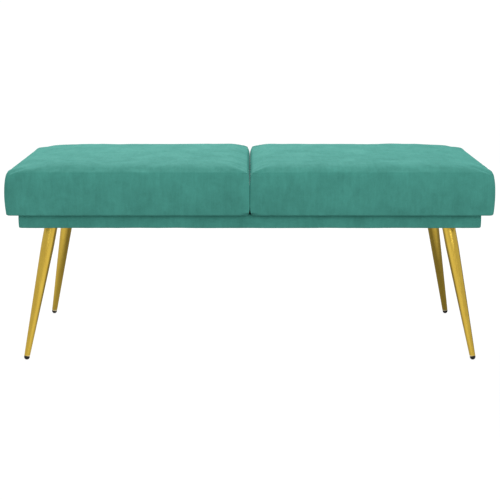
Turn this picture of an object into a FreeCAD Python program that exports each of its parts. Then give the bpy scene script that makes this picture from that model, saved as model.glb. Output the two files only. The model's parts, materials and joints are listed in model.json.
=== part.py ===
"""Upholstered two-seat bench on four splayed, tapered metal legs.

Frame of the part: millimetres, +Z up, X along the bench, -Y is the front.
Origin on the floor, under the middle of the bench.  Left is -X as seen from the front.

The bench comes apart like this:
  - two seat pads, each a plywood board, a foam block, a fibre wadding and a velvet cover
    stapled under the board, closed below by a cloth and bolted down to the base;
  - a base of pine rails joined with dowels, four corner blocks, a thin wadding and a
    velvet band round the outside, closed below by a black dust cover;
  - four legs, each a tapered steel tube welded to a square plate, held by four low-head
    bolts into tee nuts, and standing on a domed plastic glide pushed into the tube.
"""

import FreeCAD, Part
import math
import os
from FreeCAD import Vector as V

# ------------------------------------------------------------------ driving dimensions (mm)
SEAM_Z = 443.5            # height of the sewn edge round the top of a pad
CROWN = 12.5              # the top swells this far above the sewn edge
CROWN_NEAR = 40.0         # it reaches its full height this far in from the front, back and inner edges
CROWN_END = 122.0         # and this far in from the outer end
PAD_Z = 346.5             # underside of the pads
PAD_OUT_X = 557.5         # end of a pad at its lower edge, from the middle of the bench
PAD_HALF_Y = 238.5        # front and back of a pad at its lower edge
PAD_GAP = 1.6             # each pad's lower inner edge, from the middle
BULGE = 2.2               # the outer sides swell this far
BULGE_IN = 1.1            # the sides that face each other swell less
PAD_R = 12.0              # vertical corners of a pad
PAD_TOP_R = 8.0           # rounding along the sewn edge
PAD_LOW_R = 4.0           # rounding along the lower edge
VELVET = 1.5              # thickness of the velvet
WADDING = 6.0             # fibre wadding between velvet and foam
BOARD = 12.0              # plywood board
WRAP = 55.0               # the cover turns this far under the board
CLOTH = 0.6               # cloth that closes the underside of a pad

BAND_X = 531.4            # outside of the velvet band
BAND_Y = 215.5
BAND_Z0 = 314.0
BAND_R = 9.0              # corners of the band, seen from above
BAND_EDGE_R = 2.6         # its upper and lower edges
BAND_TOP = 22.0           # it turns in over the rails this far at the top
BAND_WADDING = 2.5
RAIL_W = 60.0
RAIL_H = 29.5
BLOCK = 90.0              # corner block, square
CROSS_X = 250.0           # the two side cross rails
DOWEL_R = 4.0
DOWEL_L = 60.0
DUST = 0.5                # dust cover
DUST_INSET = 9.0

FOOT_X = 523.3            # middle of a glide's dome
FOOT_Y = 211.9
SPLAY = 0.192             # sideways per unit of height, both outwards and forwards
LEG_R_TOP = 15.2
LEG_R_LOW = 6.7
TAPER_Z = 262.0           # a leg is straight above this height and tapers below it
LEG_WALL = 1.5
PLATE = 80.0
PLATE_T = 2.5
PLATE_R = 9.0
WELD = 2.8                # height of the weld bead under a plate
BOLT_OFF = 30.0           # the four bolt holes of a plate, from its middle
BOLT_R = 2.95             # M6 bolt
NUT_HOLE_R = 3.0
CLEAR_R = 3.4
GLIDE_R = 6.6
GLIDE_Z = 6.0             # height of the dome's centre
GLIDE_LIP = 2.2           # the black part shows this far above the dome's centre

PAD_BOLTS_X = (110.0, 345.0)
PAD_BOLTS_Y = 175.0

# derived
TIMBER_X = BAND_X - VELVET - BAND_WADDING
TIMBER_Y = BAND_Y - VELVET - BAND_WADDING
TIMBER_Z0 = BAND_Z0 + VELVET
TIMBER_Z1 = TIMBER_Z0 + RAIL_H
BAND_Z1 = TIMBER_Z1 + VELVET
BOARD_Z0 = PAD_Z + VELVET
BOARD_Z1 = BOARD_Z0 + BOARD
DUST_Z0 = BAND_Z0 - DUST
PLATE_Z0 = DUST_Z0 - PLATE_T
assert abs(BAND_Z1 - PAD_Z) < 1e-9

os.makedirs("parts", exist_ok=True)
NODES = {}


# ------------------------------------------------------------------ helpers
def box(x0, x1, y0, y1, z0, z1):
    return Part.makeBox(x1 - x0, y1 - y0, z1 - z0, V(x0, y0, z0))


def cyl(x, y, z0, z1, r):
    return Part.makeCylinder(r, z1 - z0, V(x, y, z0), V(0, 0, 1))


def rounded_wire(x0, x1, y0, y1, z, r):
    """A rounded rectangle at height z, from the middle of its front side, always in the same order."""
    k = r * math.sqrt(0.5)
    e = []
    e.append(Part.LineSegment(V(x0 + r, y0, z), V(x1 - r, y0, z)).toShape())
    e.append(Part.Arc(V(x1 - r, y0, z), V(x1 - r + k, y0 + r - k, z), V(x1, y0 + r, z)).toShape())
    e.append(Part.LineSegment(V(x1, y0 + r, z), V(x1, y1 - r, z)).toShape())
    e.append(Part.Arc(V(x1, y1 - r, z), V(x1 - r + k, y1 - r + k, z), V(x1 - r, y1, z)).toShape())
    e.append(Part.LineSegment(V(x1 - r, y1, z), V(x0 + r, y1, z)).toShape())
    e.append(Part.Arc(V(x0 + r, y1, z), V(x0 + r - k, y1 - r + k, z), V(x0, y1 - r, z)).toShape())
    e.append(Part.LineSegment(V(x0, y1 - r, z), V(x0, y0 + r, z)).toShape())
    e.append(Part.Arc(V(x0, y0 + r, z), V(x0 + r - k, y0 + r - k, z), V(x0 + r, y0, z)).toShape())
    return Part.Wire(e)


def slab(x0, x1, y0, y1, z0, z1, r):
    return Part.Face(rounded_wire(x0, x1, y0, y1, z0, r)).extrude(V(0, 0, z1 - z0))


def edge_points(edge, n=5):
    a, b = edge.ParameterRange
    return [edge.valueAt(a + (b - a) * i / (n - 1)) for i in range(n)]


def filleted(shape, radius, chosen):
    edges = [e for e in shape.Edges if chosen(edge_points(e))]
    return shape.makeFillet(radius, edges) if edges and radius > 0.05 else shape


def one_solid(shape):
    solids = sorted(shape.Solids, key=lambda s: -s.Volume)
    return solids[0]


def write(name, *solids):
    flat = []
    for s in solids:
        flat += s.Solids
    assert flat, name
    for s in flat:
        assert s.isValid() and s.isClosed() and s.Volume > 0, name
    shape = flat[0] if len(flat) == 1 else Part.makeCompound(flat)
    shape.exportStep("parts/%s.step" % name)
    NODES[name] = shape


# ------------------------------------------------------------------ fasteners
def tee_nut(x, y, z_top, depth):
    """Flange flush with z_top, barrel downwards, four prongs."""
    n = cyl(x, y, z_top - 1.2, z_top, 9.5).fuse(cyl(x, y, z_top - depth, z_top - 1.0, 4.0))
    for i in range(4):
        a = math.radians(45 + 90 * i)
        p = Part.makeBox(1.2, 2.6, 6.0, V(-0.6, -1.3, -6.0))
        p.rotate(V(0, 0, 0), V(0, 0, 1), math.degrees(a))
        p.translate(V(x + 7.8 * math.cos(a), y + 7.8 * math.sin(a), z_top - 1.0))
        n = n.fuse(p)
    return n.cut(cyl(x, y, z_top - depth - 1, z_top + 1, NUT_HOLE_R)).removeSplitter()


def hexagon(x, y, z0, z1, across):
    r = across / math.sqrt(3)
    pts = [V(x + r * math.cos(math.radians(60 * i)), y + r * math.sin(math.radians(60 * i)), z0) for i in range(7)]
    return Part.Face(Part.makePolygon(pts)).extrude(V(0, 0, z1 - z0))


def bolt_up(x, y, z_seat, length, head_r, head_h):
    """A bolt driven upwards: its head hangs under z_seat and has a hexagon socket."""
    head = cyl(x, y, z_seat - head_h, z_seat, head_r)
    head = filleted(head, min(0.8, head_h * 0.45), lambda p: all(abs(q.z - (z_seat - head_h)) < 1e-6 for q in p) and p[0].distanceToPoint(V(x, y, p[0].z)) > head_r - 0.1)
    shank = cyl(x, y, z_seat, z_seat + length, BOLT_R)
    shank = shank.makeChamfer(0.6, [e for e in shank.Edges if all(abs(q.z - z_seat - length) < 1e-6 for q in edge_points(e))])
    b = head.fuse(shank).cut(hexagon(x, y, z_seat - head_h - 1, z_seat - 0.5 + max(0, 2.5 - head_h), 4.0))
    return b.removeSplitter()


def staple(x, y, z, along_x, up, leg):
    """A wire staple: crown 10 x 1.2 x 0.5 lying at z, its legs 'leg' long, upwards or downwards."""
    s = Part.makeBox(10.0, 1.2, 0.5, V(-5.0, -0.6, 0.0 if up else -0.5))
    for sx in (-5.0, 4.3):
        s = s.fuse(Part.makeBox(0.7, 1.2, leg, V(sx, -0.6, 0.0 if up else -leg)))
    s = s.removeSplitter()
    if not along_x:
        s.rotate(V(0, 0, 0), V(0, 0, 1), 90)
    s.translate(V(x, y, z))
    return s


def staples_round(x0, x1, y0, y1, z, pitch, up, leg, skip=lambda x, y: False):
    out = []
    nx, ny = int(round((x1 - x0) / pitch)), int(round((y1 - y0) / pitch))
    for i in range(nx):
        x = x0 + (x1 - x0) * (i + 0.5) / nx
        for y in (y0, y1):
            if not skip(x, y):
                out.append(staple(x, y, z, True, up, leg))
    for i in range(ny):
        y = y0 + (y1 - y0) * (i + 0.5) / ny
        for x in (x0, x1):
            if not skip(x, y):
                out.append(staple(x, y, z, False, up, leg))
    return out


# ------------------------------------------------------------------ seat pads
def rise(d, reach):
    """0 at the edge, 1 from 'reach' inwards; beyond the edge it goes on falling in a straight line."""
    t = min(1.0, d / reach)
    return 2.0 * t if t < 0 else 1.0 - (1.0 - t) ** 2


def crown_height(from_inner, from_outer, from_side):
    """How far the top stands over the sewn edge, from the distances to the pad's edges."""
    f = rise(from_inner, CROWN_NEAR) * rise(from_outer, CROWN_END)
    g = rise(from_side, CROWN_NEAR)
    return CROWN * (f * g if f > 0 or g > 0 else -f * g)


def crowned_surface(side, inset):
    """Cubic surface over the pad, with closer knots near the edges."""
    length, width = PAD_OUT_X - PAD_GAP, 2 * PAD_HALF_Y
    near = [-36.0, -24.0, -12.0, 0.0, 6.0, 12.0, 18.0, 25.0, 33.0, 42.0, 56.0, 80.0]
    far = [150.0, 130.0, 112.0, 94.0, 76.0, 58.0, 42.0, 28.0, 16.0, 6.0, -4.0, -16.0, -36.0]
    kx = near + [130.0, 200.0, 280.0, 350.0] + [length - d for d in far]
    ky = near + [130.0, 190.0, width / 2, width - 190.0, width - 130.0] + [width - d for d in reversed(near)]
    if side < 0:
        kx = [-(PAD_GAP + d) for d in reversed(kx)]
    else:
        kx = [PAD_GAP + d for d in kx]
    ky = [d - PAD_HALF_Y for d in ky]

    def spread(knots):
        full = [knots[0]] * 3 + knots + [knots[-1]] * 3
        return [(full[i + 1] + full[i + 2] + full[i + 3]) / 3.0 for i in range(len(knots) + 2)]

    poles = []
    for x in spread(kx):
        inner = side * x - PAD_GAP
        poles.append([V(x, y, SEAM_Z - inset + crown_height(inner, length - inner, PAD_HALF_Y - abs(y))) for y in spread(ky)])
    s = Part.BSplineSurface()
    s.buildFromPolesMultsKnots(poles, [4] + [1] * (len(kx) - 2) + [4], [4] + [1] * (len(ky) - 2) + [4], kx, ky, False, False, 3, 3)
    return s


def pad_form(side, inset):
    """The outer form of a pad, taken in by 'inset' all round.  side is -1 for the left pad, +1 for the right."""
    zb, zt = PAD_Z + inset, SEAM_Z + 30.0
    wires = []
    levels = [0.0, 0.12, 0.3, 0.5, 0.7, 0.88, 1.0]
    zs = [PAD_Z + (SEAM_Z - PAD_Z) * u for u in levels] + [zt]
    zs[0] = zb
    for z in zs:
        u = min(1.0, max(0.0, (z - PAD_Z) / (SEAM_Z - PAD_Z)))
        o = BULGE * 4 * u * (1 - u) - inset
        i = BULGE_IN * 4 * u * (1 - u) - inset
        if z == zt:
            o, i = -inset - 1.0, -inset - 0.3
        wires.append((PAD_GAP - i, PAD_OUT_X + o, PAD_HALF_Y + o, z))
    r = max(4.0, PAD_R - inset)
    if side > 0:
        ws = [rounded_wire(a, b, -h, h, z, r) for a, b, h, z in wires]
    else:
        ws = [rounded_wire(-b, -a, -h, h, z, r) for a, b, h, z in wires]
    block = Part.makeLoft(ws, True, False)
    surface = crowned_surface(side, inset)
    below = surface.toShape().extrude(V(0, 0, -140.0))
    form = one_solid(block.common(below))
    top_r = PAD_TOP_R - inset
    if top_r > 1.0:
        form = filleted(form, top_r, lambda p: all(q.z > SEAM_Z - inset - 3 for q in p))
    if PAD_LOW_R - inset > 0.8:
        form = filleted(form, PAD_LOW_R - inset, lambda p: all(abs(q.z - zb) < 0.05 for q in p))
    return form


def pad(side, tag):
    x_in, x_out = PAD_GAP, PAD_OUT_X
    if side < 0:
        x_in, x_out = -PAD_OUT_X, -PAD_GAP
    outer = pad_form(side, 0.0)
    under_velvet = pad_form(side, VELVET)
    core = pad_form(side, VELVET + WADDING)

    # velvet cover: a skin open under the board
    inner = under_velvet
    opening = slab(x_in + WRAP, x_out - WRAP, -PAD_HALF_Y + WRAP, PAD_HALF_Y - WRAP, PAD_Z - 1, BOARD_Z0 + 1, 12.0)
    cover = one_solid(outer.cut(inner).cut(opening))

    # plywood board with its tee nuts
    b = 5.5
    board = slab(x_in + b, x_out - b, -PAD_HALF_Y + b, PAD_HALF_Y - b, BOARD_Z0, BOARD_Z1, PAD_R)
    nuts = [tee_nut(side * px, py, BOARD_Z1, 11.0) for px in PAD_BOLTS_X for py in (-PAD_BOLTS_Y, PAD_BOLTS_Y)]
    nut_tools = Part.makeCompound(nuts + [cyl(side * px, py, BOARD_Z0 - 1, BOARD_Z1 + 1, NUT_HOLE_R + 0.9) for px in PAD_BOLTS_X for py in (-PAD_BOLTS_Y, PAD_BOLTS_Y)])

    # foam block on the board
    foam = one_solid(core.common(box(-700, 700, -400, 400, BOARD_Z1, 600)))
    # wadding round the foam and the board's edge
    wad = one_solid(under_velvet.common(box(-700, 700, -400, 400, BOARD_Z0, 600)).cut(foam).cut(board))

    # cloth under the board, over the turned-in edge of the cover
    c = WRAP - 10.0
    cloth = slab(x_in + c, x_out - c, -PAD_HALF_Y + c, PAD_HALF_Y - c, PAD_Z - CLOTH, PAD_Z, 14.0)
    holes = Part.makeCompound([cyl(side * px, py, PAD_Z - 5, PAD_Z + 1, CLEAR_R + 0.6) for px in PAD_BOLTS_X for py in (-PAD_BOLTS_Y, PAD_BOLTS_Y)])
    cloth = cloth.cut(holes)
    s = WRAP - 5.0
    tacks = staples_round(x_in + s, x_out - s, -PAD_HALF_Y + s, PAD_HALF_Y - s, PAD_Z - CLOTH - 0.5, 45.0, True, 8.0)
    tack_tool = Part.makeCompound(tacks)

    write("seat_cover_%s" % tag, one_solid(cover.cut(tack_tool)))
    write("seat_board_%s" % tag, one_solid(board.cut(nut_tools).cut(tack_tool)))
    write("seat_foam_%s" % tag, foam)
    write("seat_wadding_%s" % tag, wad)
    write("seat_under_cloth_%s" % tag, one_solid(cloth.cut(tack_tool)))
    write("seat_staples_%s" % tag, *tacks)
    return nuts


pad_nuts = pad(-1, "left") + pad(1, "right")
write("seat_tee_nuts", *pad_nuts)

# bolts that hold the pads down, in counterbores under the front and rear rails
BORE_Z = TIMBER_Z0 + 8.0
pad_bolts, pad_washers, pad_bolt_tools = [], [], []
for sx in (-1, 1):
    for px in PAD_BOLTS_X:
        for py in (-PAD_BOLTS_Y, PAD_BOLTS_Y):
            x = sx * px
            pad_washers.append(cyl(x, py, BORE_Z - 1.5, BORE_Z, 8.0).cut(cyl(x, py, BORE_Z - 2, BORE_Z + 1, CLEAR_R)))
            pad_bolts.append(bolt_up(x, py, BORE_Z - 1.5, 36.0, 5.6, 3.3))
            pad_bolt_tools.append(cyl(x, py, TIMBER_Z0 - 3, BORE_Z, 9.5))
            pad_bolt_tools.append(cyl(x, py, BORE_Z - 1, TIMBER_Z1 + 1, CLEAR_R))
write("seat_bolts", *pad_bolts)
write("seat_bolt_washers", *pad_washers)
pad_bolt_tool = Part.makeCompound(pad_bolt_tools)

# ------------------------------------------------------------------ legs
corners = [("front_left", -1, -1), ("front_right", 1, -1), ("rear_left", -1, 1), ("rear_right", 1, 1)]
TILT = math.sqrt(1 + 2 * SPLAY * SPLAY)   # length along the axis per unit of height


def axis_at(sx, sy, z):
    return V(sx * (FOOT_X - SPLAY * (z - GLIDE_Z)), sy * (FOOT_Y - SPLAY * (z - GLIDE_Z)), z)


leg_bolts, leg_nuts, leg_bolt_tools, welds = [], [], [], []
for tag, sx, sy in corners:
    up = V(-sx * SPLAY, -sy * SPLAY, 1.0) / TILT
    low = axis_at(sx, sy, GLIDE_Z) + up * GLIDE_LIP
    taper = (TAPER_Z - low.z) * TILT
    rest = (PLATE_Z0 - TAPER_Z) * TILT + 14.0       # the tube runs past the plate and is cut level
    grow = (LEG_R_TOP - LEG_R_LOW) / taper
    full = Part.makeCone(LEG_R_LOW, LEG_R_TOP, taper, low, up).fuse(Part.makeCylinder(LEG_R_TOP, rest, low + up * taper, up))
    full = filleted(full, 0.8, lambda p: all(abs((q - low).dot(up)) < 1e-4 for q in p) and (p[0] - p[2]).Length > 1)
    bore = Part.makeCone(LEG_R_LOW - LEG_WALL - grow, LEG_R_TOP - LEG_WALL, taper + 1, low - up, up)
    bore = bore.fuse(Part.makeCylinder(LEG_R_TOP - LEG_WALL, rest + 2, low + up * taper, up))
    above = box(-700, 700, -400, 400, PLATE_Z0, 400)
    solid_leg = one_solid(full.cut(above))
    write("leg_%s" % tag, one_solid(solid_leg.cut(bore)))

    # mounting plate
    c = axis_at(sx, sy, PLATE_Z0)
    plate = slab(c.x - PLATE / 2, c.x + PLATE / 2, c.y - PLATE / 2, c.y + PLATE / 2, PLATE_Z0, DUST_Z0, PLATE_R)
    for dx in (-BOLT_OFF, BOLT_OFF):
        for dy in (-BOLT_OFF, BOLT_OFF):
            bx, by = c.x + dx, c.y + dy
            plate = plate.cut(cyl(bx, by, PLATE_Z0 - 1, DUST_Z0 + 1, CLEAR_R))
            leg_bolts.append(bolt_up(bx, by, PLATE_Z0, 30.0, 6.0, 2.0))
            leg_nuts.append(tee_nut(bx, by, TIMBER_Z1, 11.0))
            leg_bolt_tools.append(cyl(bx, by, BAND_Z0 - 2, TIMBER_Z1 + 1, CLEAR_R))
    plate = filleted(plate, 0.5, lambda p: all(abs(q.z - PLATE_Z0) < 1e-6 for q in p) and max(abs(q.x - c.x) + abs(q.y - c.y) for q in p) > 45)
    write("leg_plate_%s" % tag, one_solid(plate))

    # weld bead in the corner between tube and plate
    mid = axis_at(sx, sy, PLATE_Z0 - WELD / 2)
    wide = LEG_R_TOP * TILT
    bead = Part.makeCone(wide + 0.9, wide + WELD, WELD, V(mid.x, mid.y, PLATE_Z0 - WELD), V(0, 0, 1))
    welds.append(one_solid(bead.cut(full)))

    # domed glide with a barbed stem
    centre = axis_at(sx, sy, GLIDE_Z)
    dome = Part.makeSphere(GLIDE_R, centre).fuse(Part.makeCylinder(GLIDE_R, GLIDE_LIP, centre, up))
    dome = dome.common(Part.makeCylinder(20, 40, low, up * -1)).cut(box(-700, 700, -400, 400, -50, 0))
    stem_r = LEG_R_LOW - LEG_WALL - 0.7
    stem = Part.makeCylinder(stem_r, 16.0, low, up)
    for k in range(3):
        stem = stem.fuse(Part.makeCone(stem_r + 0.62, stem_r, 2.6, low + up * (3.0 + 4.0 * k), up))
    stem = stem.fuse(Part.makeCone(stem_r, stem_r - 1.2, 2.0, low + up * 16.0, up))
    write("leg_glide_%s" % tag, one_solid(dome.fuse(stem).removeSplitter()))

write("leg_welds", *welds)
write("leg_bolts", *leg_bolts)
write("leg_tee_nuts", *leg_nuts)
leg_tool = Part.makeCompound(leg_bolt_tools)
leg_nut_tool = Part.makeCompound(leg_nuts)

# ------------------------------------------------------------------ base frame
INX, INY = TIMBER_X - RAIL_W, TIMBER_Y - RAIL_W     # inside of the rails
MID_Z = (TIMBER_Z0 + TIMBER_Z1) / 2


def dowel(x, y, along_x):
    d = V(1, 0, 0) if along_x else V(0, 1, 0)
    p = V(x, y, MID_Z) - d * (DOWEL_L / 2)
    s = Part.makeCylinder(DOWEL_R, DOWEL_L, p, d)
    return s.makeChamfer(0.8, [e for e in s.Edges if len(e.Vertexes) == 1 or e.isClosed()])


dowels = []
for sy in (-1, 1):
    for x in (-CROSS_X, 0.0, CROSS_X):
        for off in (-18.0, 18.0):
            dowels.append(dowel(x + off, sy * INY, False))
    for sx in (-1, 1):
        for off in (-18.0, 18.0):
            dowels.append(dowel(sx * (INX + RAIL_W / 2) + off, sy * INY, False))
        # corner block to the long rail and to the end rail
        for x in (395.0, 455.0):
            dowels.append(dowel(sx * x, sy * INY, False))
        for y in (78.0, 110.0):
            dowels.append(dowel(sx * INX, sy * y, True))
dowel_tool = Part.makeCompound(dowels)
write("frame_dowels", *dowels)

BOTTOM_STAPLES = staples_round(-(BAND_X - 24), BAND_X - 24, -(BAND_Y - 24), BAND_Y - 24, DUST_Z0 - 0.5, 52.0, True, 9.0,
                               skip=lambda x, y: abs(x) > 414 and abs(y) > 105)
BAND_STAPLES = staples_round(-(BAND_X - 15), BAND_X - 15, -(BAND_Y - 15), BAND_Y - 15, PAD_Z, 75.0, False, 8.0)
bottom_tool, band_tool = Part.makeCompound(BOTTOM_STAPLES), Part.makeCompound(BAND_STAPLES)


def timber(name, solid):
    for tool in (pad_bolt_tool, leg_tool, leg_nut_tool, dowel_tool, bottom_tool, band_tool):
        if solid.BoundBox.intersect(tool.BoundBox):
            solid = solid.cut(tool)
    write(name, one_solid(solid))


frame_outline = slab(-TIMBER_X, TIMBER_X, -TIMBER_Y, TIMBER_Y, TIMBER_Z0, TIMBER_Z1, BAND_R - VELVET - BAND_WADDING)


def eased(b):
    """A rail with its outer corners rounded to the outline and its long edges taken off."""
    b = one_solid(b.common(frame_outline))
    return b.makeChamfer(1.0, [e for e in b.Edges if len(e.Vertexes) == 2 and (e.Vertexes[0].Point - e.Vertexes[1].Point).Length > 80])


timber("frame_front_rail", eased(box(-TIMBER_X, TIMBER_X, -TIMBER_Y, -INY, TIMBER_Z0, TIMBER_Z1)))
timber("frame_rear_rail", eased(box(-TIMBER_X, TIMBER_X, INY, TIMBER_Y, TIMBER_Z0, TIMBER_Z1)))
timber("frame_end_rail_left", eased(box(-TIMBER_X, -INX, -INY, INY, TIMBER_Z0, TIMBER_Z1)))
timber("frame_end_rail_right", eased(box(INX, TIMBER_X, -INY, INY, TIMBER_Z0, TIMBER_Z1)))
for name, x in (("frame_cross_rail_left", -CROSS_X), ("frame_cross_rail_middle", 0.0), ("frame_cross_rail_right", CROSS_X)):
    timber(name, eased(box(x - RAIL_W / 2, x + RAIL_W / 2, -INY, INY, TIMBER_Z0, TIMBER_Z1)))
for tag, sx, sy in corners:
    xa, xb = sorted((sx * (INX - BLOCK), sx * INX))
    ya, yb = sorted((sy * (INY - BLOCK), sy * INY))
    timber("corner_block_%s" % tag, box(xa, xb, ya, yb, BAND_Z0, TIMBER_Z1))

# ------------------------------------------------------------------ cover of the base
round_band = slab(-BAND_X, BAND_X, -BAND_Y, BAND_Y, BAND_Z0, BAND_Z1, BAND_R)
round_band = filleted(round_band, BAND_EDGE_R, lambda p: all(abs(q.z - BAND_Z0) < 1e-6 for q in p) or all(abs(q.z - BAND_Z1) < 1e-6 for q in p))
in_band = slab(-BAND_X + VELVET, BAND_X - VELVET, -BAND_Y + VELVET, BAND_Y - VELVET, BAND_Z0 + VELVET, BAND_Z1 - VELVET, BAND_R - VELVET)
in_band = filleted(in_band, 1.1, lambda p: all(abs(q.z - BAND_Z0 - VELVET) < 1e-6 for q in p) or all(abs(q.z - BAND_Z1 + VELVET) < 1e-6 for q in p))
top_gap = slab(-BAND_X + BAND_TOP, BAND_X - BAND_TOP, -BAND_Y + BAND_TOP, BAND_Y - BAND_TOP, TIMBER_Z1 - 1, BAND_Z1 + 1, 4.0)
low_gap = box(-INX, INX, -INY, INY, BAND_Z0 - 1, TIMBER_Z0 + 1)
band = round_band.cut(in_band).cut(top_gap).cut(low_gap)
band = band.cut(pad_bolt_tool).cut(leg_tool).cut(bottom_tool).cut(band_tool)
write("base_velvet_band", one_solid(band))

frame_block = slab(-TIMBER_X, TIMBER_X, -TIMBER_Y, TIMBER_Y, TIMBER_Z0 - 5, TIMBER_Z1 + 5, BAND_R - VELVET - BAND_WADDING)
write("base_wadding", one_solid(in_band.cut(frame_block)))

dust = slab(-BAND_X + DUST_INSET, BAND_X - DUST_INSET, -BAND_Y + DUST_INSET, BAND_Y - DUST_INSET, DUST_Z0, BAND_Z0, 8.0)
dust = dust.cut(leg_tool).cut(bottom_tool)
write("dust_cover", one_solid(dust))
write("dust_cover_staples", *BOTTOM_STAPLES)
write("band_staples", *BAND_STAPLES)

# ------------------------------------------------------------------ facts
lo = V(1e9, 1e9, 1e9)
hi = V(-1e9, -1e9, -1e9)
for n, s in sorted(NODES.items()):
    b = s.BoundBox
    lo = V(min(lo.x, b.XMin), min(lo.y, b.YMin), min(lo.z, b.ZMin))
    hi = V(max(hi.x, b.XMax), max(hi.y, b.YMax), max(hi.z, b.ZMax))
    print("%-28s solids %3d  volume %10.1f  x %7.1f %7.1f  y %7.1f %7.1f  z %6.1f %6.1f" % (n, len(s.Solids), s.Volume, b.XMin, b.XMax, b.YMin, b.YMax, b.ZMin, b.ZMax))
print("nodes", len(NODES), "box", [round(v, 2) for v in (lo.x, lo.y, lo.z, hi.x, hi.y, hi.z)])
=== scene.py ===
import bpy
import json
import math
import numpy as np
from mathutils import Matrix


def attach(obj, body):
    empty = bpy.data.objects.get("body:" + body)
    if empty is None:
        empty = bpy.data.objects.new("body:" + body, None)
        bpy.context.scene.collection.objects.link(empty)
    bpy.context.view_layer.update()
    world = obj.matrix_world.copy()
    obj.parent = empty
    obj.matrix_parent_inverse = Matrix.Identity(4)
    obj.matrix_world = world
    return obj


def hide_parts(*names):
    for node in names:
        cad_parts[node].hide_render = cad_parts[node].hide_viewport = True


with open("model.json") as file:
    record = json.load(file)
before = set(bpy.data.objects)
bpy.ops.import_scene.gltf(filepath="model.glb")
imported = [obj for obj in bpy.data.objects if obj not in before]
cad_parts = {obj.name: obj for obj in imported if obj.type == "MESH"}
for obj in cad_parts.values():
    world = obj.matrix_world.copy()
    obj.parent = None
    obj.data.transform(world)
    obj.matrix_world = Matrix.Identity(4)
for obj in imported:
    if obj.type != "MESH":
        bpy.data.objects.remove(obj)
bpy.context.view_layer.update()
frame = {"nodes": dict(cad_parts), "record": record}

NODES = frame["nodes"]
MM = 0.001

# ------------------------------------------------------------------ sizes, in mm, as in the construction
SEAM_Z, CROWN, PAD_Z = 443.5, 12.5, 346.5
PAD_OUT_X, PAD_HALF_Y, PAD_GAP = 557.5, 238.5, 1.6
BAND_X, BAND_Y, BAND_Z0, BAND_Z1, BAND_R = 531.4, 215.5, 314.0, 346.5, 9.0
FOOT_X, FOOT_Y, SPLAY, GLIDE_Z, GLIDE_LIP, GLIDE_R = 523.3, 211.9, 0.192, 6.0, 2.2, 6.6
LEG_R_TOP, LEG_R_LOW, TAPER_Z = 15.2, 6.7, 262.0
PLATE_Z0, DUST_Z0 = 311.0, 313.5
LENGTH, WIDTH = PAD_OUT_X - PAD_GAP, 2 * PAD_HALF_Y


# ------------------------------------------------------------------ camera at the photograph's place
cam = bpy.data.cameras.new("camera")
camera = bpy.data.objects.new("camera", cam)
bpy.context.collection.objects.link(camera)
camera.location = (0.0, -3.031, 0.8605)
camera.rotation_euler = (math.pi / 2 - 0.2091, 0.0, 0.0)
cam.lens, cam.sensor_width, cam.shift_x, cam.clip_end = 90.0, 36.0, 0.0004, 400.0
bpy.context.scene.camera = camera


# ------------------------------------------------------------------ small maths
def waves(seed, count, longest, shortest, tilt=None):
    """A smooth pseudo-random field over 3-D points in mm, about -1 to 1, the same every run."""
    r = np.random.RandomState(seed)
    k = r.normal(size=(count, 3))
    k /= np.linalg.norm(k, axis=1)[:, None]
    size = np.exp(r.uniform(math.log(shortest), math.log(longest), count))
    k *= (2 * math.pi / size)[:, None]
    if tilt is not None:
        k *= np.array(tilt)[None, :]
    phase = r.uniform(0, 2 * math.pi, count)
    amp = np.sqrt(size)
    amp /= math.sqrt((amp ** 2).sum() / 2)

    def f(p):
        out = np.zeros(len(p))
        for i in range(count):
            out += amp[i] * np.sin(p @ k[i] + phase[i])
        return out * 0.6
    return f


def smooth(t):
    t = np.clip(t, 0.0, 1.0)
    return t * t * (3 - 2 * t)


def new_mesh(name, verts, faces, material, shade=True):
    """verts in mm."""
    me = bpy.data.meshes.new(name)
    me.from_pydata((np.asarray(verts, float) * MM).tolist(), [], [tuple(int(i) for i in f) for f in faces])
    me.materials.append(material)
    if shade:
        me.polygons.foreach_set("use_smooth", [True] * len(me.polygons))
    me.update()
    ob = bpy.data.objects.new(name, me)
    bpy.context.collection.objects.link(ob)
    return ob


def vertex_normals(verts, quads):
    a, b, c, d = (verts[quads[:, i]] for i in range(4))
    n = np.cross(c - a, d - b)
    out = np.zeros_like(verts)
    for i in range(4):
        np.add.at(out, quads[:, i], n)
    return out / np.maximum(np.linalg.norm(out, axis=1), 1e-12)[:, None]


# ------------------------------------------------------------------ materials
def material(name):
    m = bpy.data.materials.new(name)
    m.use_nodes = True
    t = m.node_tree
    t.nodes.clear()
    out = t.nodes.new("ShaderNodeOutputMaterial")
    sh = t.nodes.new("ShaderNodeBsdfPrincipled")
    t.links.new(sh.outputs[0], out.inputs[0])
    return m, t, sh


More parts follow.
